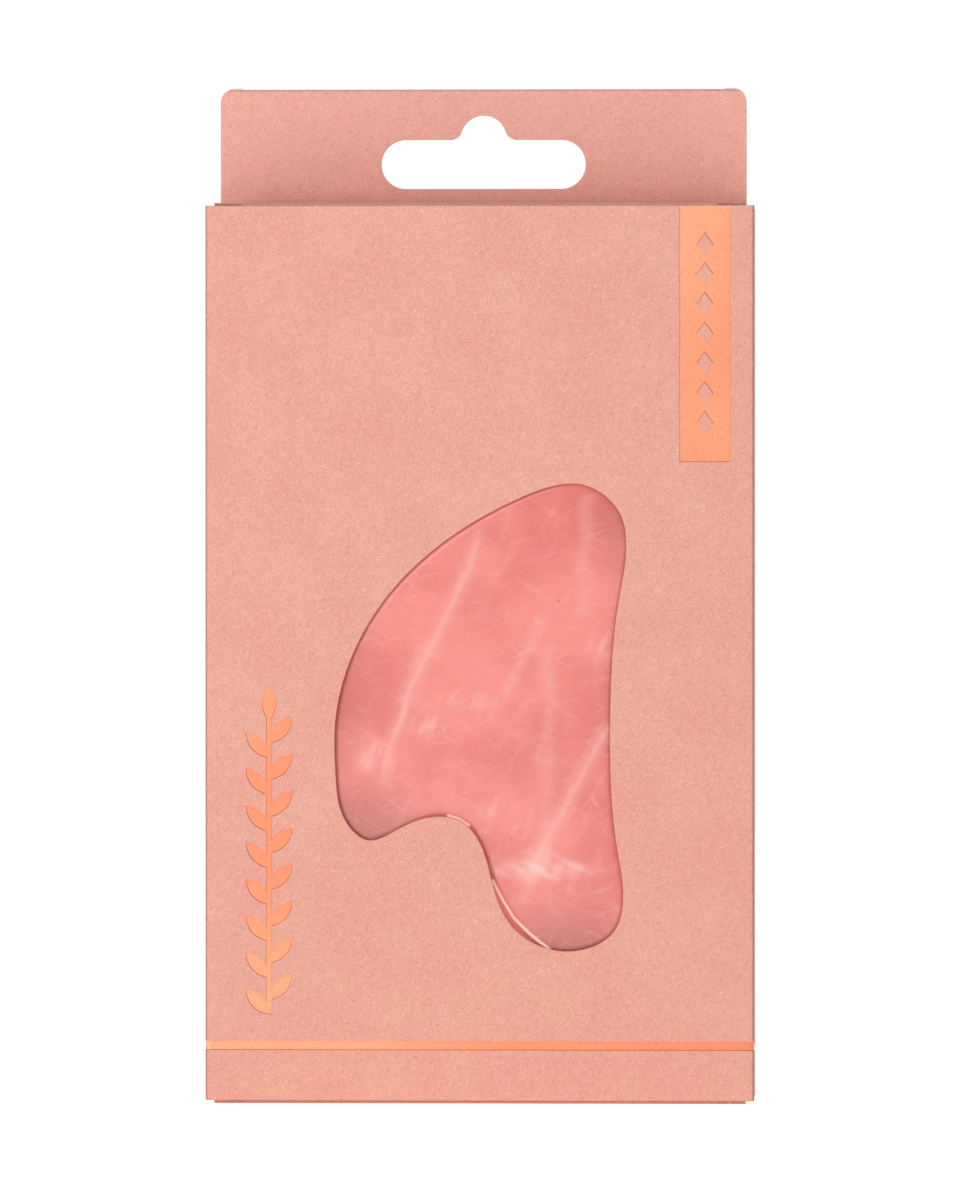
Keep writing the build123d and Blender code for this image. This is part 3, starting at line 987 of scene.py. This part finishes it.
# %% Stamp and fold the sleeve
def foil_outline(node):
    return outlines(node, Y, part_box(node)[0].y)


BAND_STOP = BACK - 1 * MM

band_low, band_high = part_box("foil_band")
band_ends = (across(LEFT_RUN, BAND_STOP), across(RIGHT_RUN, BAND_STOP))
band_stamp = [[(band_ends[0], band_low.z), (band_ends[1], band_low.z),
               (band_ends[1], band_high.z), (band_ends[0], band_high.z)]]
label_stamp = [on_front(loop) for loop in foil_outline("foil_label")]
label_edge = anticlockwise(label_stamp[0])
label_stamp[0] = [(s, min(z, PANEL_TOP - 2 * CHAMFER)) for s, z in label_edge]
sprig_stamp = [on_front(loop) for loop in foil_outline("foil_sprig")]

sleeve = Board(
    sleeve_folds,
    seen_from_above,
    [top_edge + bottom_edge, on_front(window), slot_hole],
    stamps=[label_stamp, band_stamp, sprig_stamp],
)
carton_sleeve = sleeve.mesh("carton_sleeve", SHEET_FACES)
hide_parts("front_panel", "left_side_panel", "right_side_panel", "back_panel", "seam_flap")
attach(carton_sleeve, "carton")
for number, node in enumerate(("foil_label", "foil_band", "foil_sprig")):
    skin = sleeve.foil(number, node + "_skin", [FOIL])
    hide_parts(node)
    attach(skin, "carton")

# %% [markdown]
# ## The header ply, the lids and their lips
#
# Seen from the side, the board comes over the top of the tab, runs down its face, turns forwards as the
# lid, and turns down again as the lip that tucks in behind the front panel. A lid bends at its crease
# and doesn't break there.

# %% Header ply and top lid
VALLEY = 0.12 * MM
PLY_GAP = 0.5 * MM
lid_low, lid_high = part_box("top_lid")
ply_foot = lid_high.z + PLY_GAP


def upright(spot, x):
    """For boards folded about a line across the carton."""
    return (x, spot[0], spot[1])


header_folds = Folds(
    [(BACK, fold_foot), (BACK, fold_foot + FOLD_RADIUS), (tab_low.y, fold_foot + FOLD_RADIUS),
     (tab_low.y, ply_foot)],
    [FOLD_RADIUS * FULL_ROUND] * 2,
)


def down_ply(z):
    """How far along the header's print a height on its face is."""
    return header_folds.on_run(2, z)


ply_half = [(down_ply(z), x) for x, z in tab_edge(ply_foot)]
ply = ply_half + [(0.0, FOLD_REACH), (0.0, -FOLD_REACH)] + [(s, -x) for s, x in ply_half[::-1]]
ply_slot = [(down_ply(z), x) for x, z in slot]
# The header ply takes the copy of the print with painted light and painted pink bounce.
header = Board(header_folds, upright, [ply, ply_slot]).mesh("header_ply", [PEARL_PAINTED_BOUNCE, BARE, EDGE])
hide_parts("tab_front_ply")
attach(header, "carton")


def strip(low, high, half):
    """A rectangle on the flat sheet: from low to high along it, and half each side of the middle."""
    return [(low, -half), (high, -half), (high, half), (low, half)]


top_folds = Folds([(tab_low.y, ply_foot), (tab_low.y, lid_high.z), (lid_low.y, lid_high.z)], [VALLEY])
top_lid = Board(top_folds, upright, [strip(0, top_folds.length, lid_high.x)])
top_lid = top_lid.mesh("top_lid_board", SHEET_FACES)
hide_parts("top_lid")
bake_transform(top_lid)

# %% [markdown]
# ## Tuck lips
#
# A lip leaves its lid at a fold and leans inwards, so that it slides in easily and then springs
# against the panel. The same function makes the upper and the lower one, which are mirror images.

# %% Tuck lips
LIP_LONG, LIP_LEAN, LIP_CORNER = 11 * MM, math.radians(22), 5 * MM
lip_downward = np.array([math.sin(LIP_LEAN), -math.cos(LIP_LEAN)])
lip_outward = np.array([-math.cos(LIP_LEAN), -math.sin(LIP_LEAN)])


def tuck_lip(name, node, fold_z, up):
    """The lip that leaves a lid's inner front corner at height fold_z. up is 1 for the lower lip."""
    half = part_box(node)[1].x
    drop = BOARD * (1 + lip_outward[1]) / -lip_downward[1]
    corner = BOARD * lip_outward - lip_downward * drop
    tip = BOARD * lip_outward + lip_downward * LIP_LONG
    folds = Folds([(0.0, BOARD), corner, tip], [BOARD * FULL_ROUND])

    def place(spot, x):
        return (x, lid_low.y + spot[0], fold_z - up * spot[1])

    end = folds.length
    rounded = arc((end - LIP_CORNER, half - LIP_CORNER), LIP_CORNER, 0, 90)
    outline = [(0.0, -half), *[(s, -x) for s, x in rounded[::-1]], *rounded, (0.0, half)]
    lip = Board(folds, place, [outline]).mesh(name, SHEET_FACES)
    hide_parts(node)
    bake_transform(lip)


tuck_lip("top_lip_board", "top_tuck_lip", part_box("top_lid")[0].z, up=-1)
tuck_lip("bottom_lip_board", "bottom_tuck_lip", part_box("bottom_lid")[1].z, up=1)

# %% [markdown]
# ## The bottom lid
#
# The bottom lid is a strip with one fold, along the foot of the back panel.

# %% Bottom lid
base_low, base_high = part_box("bottom_lid")
bottom_folds = Folds([(base_low.y, 0.0), (BACK, 0.0), (BACK, front_low.z)], [BOARD * FULL_ROUND])
bottom_lid = Board(bottom_folds, upright, [strip(0, bottom_folds.length, base_high.x)])
bottom_lid = bottom_lid.mesh("bottom_lid_board", SHEET_FACES)
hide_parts("bottom_lid")
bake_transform(bottom_lid)

# %% [markdown]
# ## Dust flaps
#
# A small flap turns in from the top and the bottom of each side panel, under the lid. All four share one
# outline. The function takes the side and the end, and reads the flap's shape from the model.

# %% Dust flaps
FLAP_SLACK = 0.01 * MM


def dust_flap(name, node, side, up):
    """One flap. side is 1 on the right, and up is 1 at the top."""
    low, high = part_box(node)
    print_z = high.z if up > 0 else low.z
    panel_end = side_high.z if up > 0 else side_low.z
    rise = up * (print_z - panel_end)
    tip = min(abs(low.x), abs(high.x)) - SIDE
    folds = Folds([(0.0, 0.0), (0.0, rise), (tip, rise)], [rise * FULL_ROUND])

    def place(spot, y):
        return (side * (SIDE + spot[0]), y, panel_end + up * spot[1])

    outline = []
    for x, y in outlines(node, Z, print_z)[0]:
        at_crease = abs(x) > SIDE - BOARD - FLAP_SLACK
        outline.append((0.0 if at_crease else folds.on_run(1, abs(x) - SIDE), y))
    flap = Board(folds, place, [outline]).mesh(name, SHEET_FACES)
    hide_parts(node)
    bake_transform(flap)


for side, word in ((-1, "left"), (1, "right")):
    for up, end in ((1, "top"), (-1, "bottom")):
        node = f"{end}_dust_flap_{word}"
        dust_flap(f"{node}_board", node, side, up)

# %% [markdown]
# ## The insert
#
# The insert is a second blank, pearl side out: a platform with an opening for the stone, and a wall
# folded back at each side. It slides in the carton as one piece. The two ledges are small flaps that
# stiffen the platform's ends, and their model solids are already the right shape, so they only get the
# board's finish.

# %% The folded insert
NOTCH_REACH = 12 * MM

plate_low, plate_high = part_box("insert_platform")
wall_low, wall_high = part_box("insert_wall_right")

insert_folds = Folds(
    [(-wall_high.x, wall_high.y), (-wall_high.x, plate_low.y), (wall_high.x, plate_low.y),
     (wall_high.x, wall_high.y)],
    [CREASE] * 2,
)
insert_creases = [insert_folds.crease_ends(0)[0], insert_folds.crease_ends(1)[1]]
plate_outer, *plate_holes = outlines("insert_platform", Y, plate_low.y)


def on_plate(loop):
    return [(insert_folds.on_run(1, x), z) for x, z in loop]


notch = [(x, z) for x, z in anticlockwise(plate_outer)
         if abs(x) < NOTCH_REACH and z > plate_high.z - NOTCH_REACH]
notch = on_plate(sorted(notch, key=lambda p: -p[0]))
insert_outline = [
    (0.0, wall_low.z), (insert_creases[0], wall_low.z), (insert_creases[0], plate_low.z),
    (insert_creases[1], plate_low.z), (insert_creases[1], wall_low.z), (insert_folds.length, wall_low.z),
    (insert_folds.length, wall_high.z), (insert_creases[1], wall_high.z), (insert_creases[1], plate_high.z),
    *notch, (insert_creases[0], plate_high.z), (insert_creases[0], wall_high.z), (0.0, wall_high.z),
]
recess = smoothed(evened(plate_holes[0], 0.6 * MM), 8)
insert_board = Board(insert_folds, seen_from_above, [insert_outline, on_plate(recess)])
insert_board = insert_board.mesh("insert_board", SHEET_FACES)
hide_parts("insert_platform", "insert_wall_left", "insert_wall_right")
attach(insert_board, "insert")
for node in ("insert_ledge_top", "insert_ledge_bottom"):
    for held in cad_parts[node].material_slots:
        held.material = PEARL

# %% [markdown]
# ## The foam cradle
#
# Die-cut foam has no sharp corners: the blade squeezes it, and it springs back a little crowned. We
# copy the model's block, remesh it into small even faces, and smooth it, which rounds every edge, also
# those of the pocket. Then each point moves by a little noise, because foam is never quite flat.

# %% Foam cradle
FOAM_VOXEL = 0.9 * MM
FOAM_UNEVEN = 0.12 * MM
FOAM_INSET = 0.15 * MM
FOAM_SWELLS, FOAM_DIMPLES = 6 * MM, 2.4 * MM

cradle_low, cradle_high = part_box("foam_cradle")
print("cradle, mm:", [round((high - low) / MM, 1) for low, high in zip(cradle_low, cradle_high)])
cradle = bpy.data.objects.new("foam_pad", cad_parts["foam_cradle"].data.copy())
bpy.context.scene.collection.objects.link(cradle)
cradle.modifiers.new("even_faces", "REMESH").voxel_size = FOAM_VOXEL
soften = cradle.modifiers.new("soft_edges", "SMOOTH")
soften.factor, soften.iterations = 0.5, 4
evaluated = cradle.evaluated_get(bpy.context.evaluated_depsgraph_get())
cradle.data = bpy.data.meshes.new_from_object(evaluated)
cradle.modifiers.clear()
cradle.data.materials.clear()
cradle.data.materials.append(FOAM)
for vertex in cradle.data.vertices:
    bump = value_noise.noise(vertex.co / FOAM_SWELLS) + 0.5 * value_noise.noise(vertex.co / FOAM_DIMPLES)
    vertex.co -= vertex.normal * (FOAM_INSET + FOAM_UNEVEN * bump)
cradle.data.shade_smooth()
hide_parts("foam_cradle")
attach(cradle, "insert")
print("foam pad:", len(cradle.data.vertices), "vertices")

# %% [markdown]
# ## The stone
#
# A gua sha stone is sawn from a slab, ground to its outline and polished. Its faces are a little
# domed and roll over into a round rim, with no edge between them. We get that from one rule: the height
# of the face depends only on how far a point is from the outline, by the curve of a superellipse.

# %% The stone's outline and section
RIM = 3.1 * MM
RIM_POWER = 2.1
RIM_RINGS = 12
RUN_IN = (0.5 * MM, 1.1 * MM)
DOME = 0.12 * MM
DOME_REACH = 9 * MM
GRID_STEP, GRID_GAP = 1.1 * MM, 0.5 * MM
ON_OUTLINE = 0.002 * MM

stone_low, stone_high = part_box("scraper")
stone_middle = (stone_low.y + stone_high.y) / 2


def silhouette(node, low, high):
    """The outline of a node's straight waist, where its wall runs along Y."""
    waist = welded(node)
    cut = bmesh.ops.bisect_plane(waist, geom=waist.verts[:] + waist.edges[:] + waist.faces[:],
                                 plane_co=(0, (low + high) / 2, 0), plane_no=(0, 1, 0))["geom_cut"]
    beside = {}
    for edge in (e for e in cut if isinstance(e, bmesh.types.BMEdge)):
        a, b = edge.verts
        beside.setdefault(a, []).append(b)
        beside.setdefault(b, []).append(a)
    here, last, loop = next(iter(beside)), None, []
    while here is not None:
        loop.append((here.co.x, here.co.z))
        beside[here] = [v for v in beside[here] if v is not last]
        following = beside[here][0] if beside[here] else None
        last, here = here, following if following and following.co.xz.to_tuple() != loop[0] else None
    waist.free()
    return loop


def face_height(depth):
    """How far the face stands above the middle of the stone, at a distance in from the outline."""
    half = (stone_high.y - stone_low.y) / 2 - DOME
    inward = np.clip(np.asarray(depth) / RIM, 0, 1)
    rolled = half * (1 - (1 - inward) ** RIM_POWER) ** (1 / RIM_POWER)
    domed = np.clip(np.asarray(depth) / DOME_REACH, 0, 1)
    return rolled + DOME * (1 - (1 - domed) ** 2)


girth = smoothed(evened(silhouette("scraper", stone_low.y, stone_high.y), 0.6 * MM), 6)
extent = [round(float(v) / MM, 1) for v in np.ptp(girth, axis=0)]
print("stone outline:", len(girth), "points,", extent, "mm")

# %% [markdown]
# Rings of points follow the rim closely, where the curve is tight, and a plain grid fills the face.
# Delaunay triangulation joins them. The depth of each point is its distance in from the outline.

# %% Rings and grid on the stone's face
def distance_in(points, loop):
    """How far each point is from a closed loop."""
    a, b = loop[None, :, :], np.roll(loop, -1, axis=0)[None, :, :]
    run = b - a
    share = np.clip(((points[:, None] - a) * run).sum(2) / (run ** 2).sum(2), 0, 1)
    return np.linalg.norm(points[:, None] - a - share[..., None] * run, axis=2).min(1)


insets = [RIM * (1 - math.cos(math.pi / 2 * k / RIM_RINGS)) for k in range(RIM_RINGS + 1)]
insets += [RIM + extra for extra in RUN_IN]
girth_low, girth_high = girth.min(axis=0), girth.max(axis=0)
steps = [np.arange(girth_low[k], girth_high[k], GRID_STEP) for k in (0, 1)]
grid = np.stack(np.meshgrid(*steps), -1).reshape(-1, 2)
grid = grid[inside(grid, [girth])]
grid = grid[distance_in(grid, girth) > insets[-1] + GRID_GAP]
spread = np.concatenate([*[offset(girth, inset) for inset in insets], grid])
border = [(i, (i + 1) % len(girth)) for i in range(len(girth))]
flat, _, front_skin, *_ = delaunay_2d_cdt([Vector(p) for p in spread], border, [], 1, 1e-9)
flat = np.array([list(p) for p in flat])
depth = distance_in(flat, girth)
depth[depth < ON_OUTLINE] = 0.0
print("face of the stone:", len(flat), "points,", len(front_skin), "triangles")

# %% [markdown]
# The two faces share the points on the outline, so the back only gets new points inside it. With every
# edge smooth, the stone shades as one polished pebble.

# %% Both faces of the stone
height = face_height(depth)
stone_points = [(x, stone_middle - h, z) for (x, z), h in zip(flat, height)]
behind = {}
for i, (x, z) in enumerate(flat):
    behind[i] = i
    if depth[i] > 0.0:
        behind[i] = len(stone_points)
        stone_points.append((x, stone_middle + height[i], z))
skin = [list(f) for f in front_skin]
skin += [[behind[v] for v in f[::-1]] for f in skin]
stone = solid_object("polished_stone", stone_points, skin, [0] * len(skin), [STONE], crisp=ALL_SMOOTH)
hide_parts("scraper")
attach(stone, "insert")

# %% [markdown]
# ## The floor
#
# The carton stands on a pale floor against a white background, as in a catalogue. A floor that is only
# lit goes grey towards the horizon, so it also glows a little, until it melts into the background.

# %% Floor
FLOOR_REACH = 6.0
FLOOR_WHITE = (0.9, 0.9, 0.9, 1)

studio_floor = bpy.data.objects.new("studio_floor", bpy.data.meshes.new("studio_floor"))
studio_floor.data.from_pydata([(-FLOOR_REACH, -FLOOR_REACH, 0), (FLOOR_REACH, -FLOOR_REACH, 0),
                               (FLOOR_REACH, FLOOR_REACH, 0), (-FLOOR_REACH, FLOOR_REACH, 0)],
                              [], [(0, 1, 2, 3)])
bpy.context.scene.collection.objects.link(studio_floor)
white = Finish("studio_white", Base_Color=FLOOR_WHITE, Specular_IOR_Level=0.1, Roughness=0.9,
               Emission_Color=(1, 1, 1, 1), Emission_Strength=0.7)
studio_floor.data.materials.append(white.material)
print("floor:", 2 * FLOOR_REACH, "m square")

# %% [markdown]
# ## The background
#
# The background has to be pure white, but as much light from all round would wash the colours out. The
# Light Path node tells the world which rays come straight from the camera: those see full white, and
# every other ray gets a third of it. The standard view transform keeps white at white.

# %% World
WORLD_LIGHT = 0.34

world = bpy.data.worlds.new("studio")
world.use_nodes = True
sky = world.node_tree.nodes["Background"]
sky.inputs["Color"].default_value = (1, 1, 1, 1)
seen = world.node_tree.nodes.new("ShaderNodeLightPath")
glow = world.node_tree.nodes.new("ShaderNodeMapRange")
glow.inputs["To Min"].default_value = WORLD_LIGHT
glow.inputs["To Max"].default_value = 1.0
world.node_tree.links.new(seen.outputs["Is Camera Ray"], glow.inputs["Value"])
world.node_tree.links.new(glow.outputs["Result"], sky.inputs["Strength"])
bpy.context.scene.world = world
bpy.context.scene.view_settings.view_transform = "Standard"
bpy.context.scene.view_settings.look = "None"
print("world light:", WORLD_LIGHT)

# %% [markdown]
# ## The lights
#
# One large soft light stands in front, to the upper left. A small low one further left puts a glint on
# the stone's rim and on the slopes of the foil. A third, behind, lifts the back and the hanging tab.
# All three are area lights, because a soft edge to the shadows is what makes a studio look like one.

# %% Lights
target = Vector((-0.39 * MM, FRONT, 78.6 * MM))


def soft_light(name, place, size, power):
    """A square area light that points at the carton."""
    data = bpy.data.lights.new(name, "AREA")
    data.shape, data.size, data.energy = "SQUARE", size, power
    lamp = bpy.data.objects.new(name, data)
    lamp.location = place
    lamp.rotation_euler = (target - Vector(place)).to_track_quat("-Z", "Y").to_euler()
    bpy.context.scene.collection.objects.link(lamp)
    print(f"{name}: {power} W, {size} m")


soft_light("key", (-0.4, -0.95, 0.5), 0.7, 2.9)
soft_light("low_fill", (-0.62, -0.8, 0.06), 0.14, 1.35)
soft_light("back_fill", (0.4, 1.3, 0.3), 0.6, 2.2)

# %% [markdown]
# ## The camera
#
# A long lens from far away keeps the panels square. The camera stands a little to the right, so that a
# thin strip of the right side shows, and its lens is worked out from the height that must fill the frame.

# %% Camera
CAMERA_FAR = 1.5
CAMERA_TURN, CAMERA_RISE = math.radians(2.1), math.radians(0.25)
FRAME_HEIGHT = 184.4 * MM
SENSOR = 36.0

camera_data = bpy.data.cameras.new("camera")
camera_data.sensor_width = SENSOR
camera_data.lens = SENSOR * CAMERA_FAR / FRAME_HEIGHT
camera = bpy.data.objects.new("camera", camera_data)
camera.location = target + CAMERA_FAR * Vector((
    math.sin(CAMERA_TURN) * math.cos(CAMERA_RISE),
    -math.cos(CAMERA_TURN) * math.cos(CAMERA_RISE),
    math.sin(CAMERA_RISE),
))
camera.rotation_euler = (target - camera.location).to_track_quat("-Z", "Y").to_euler()
bpy.context.scene.collection.objects.link(camera)
bpy.context.scene.camera = camera
print("lens:", round(camera_data.lens), "mm")

# %% [markdown]
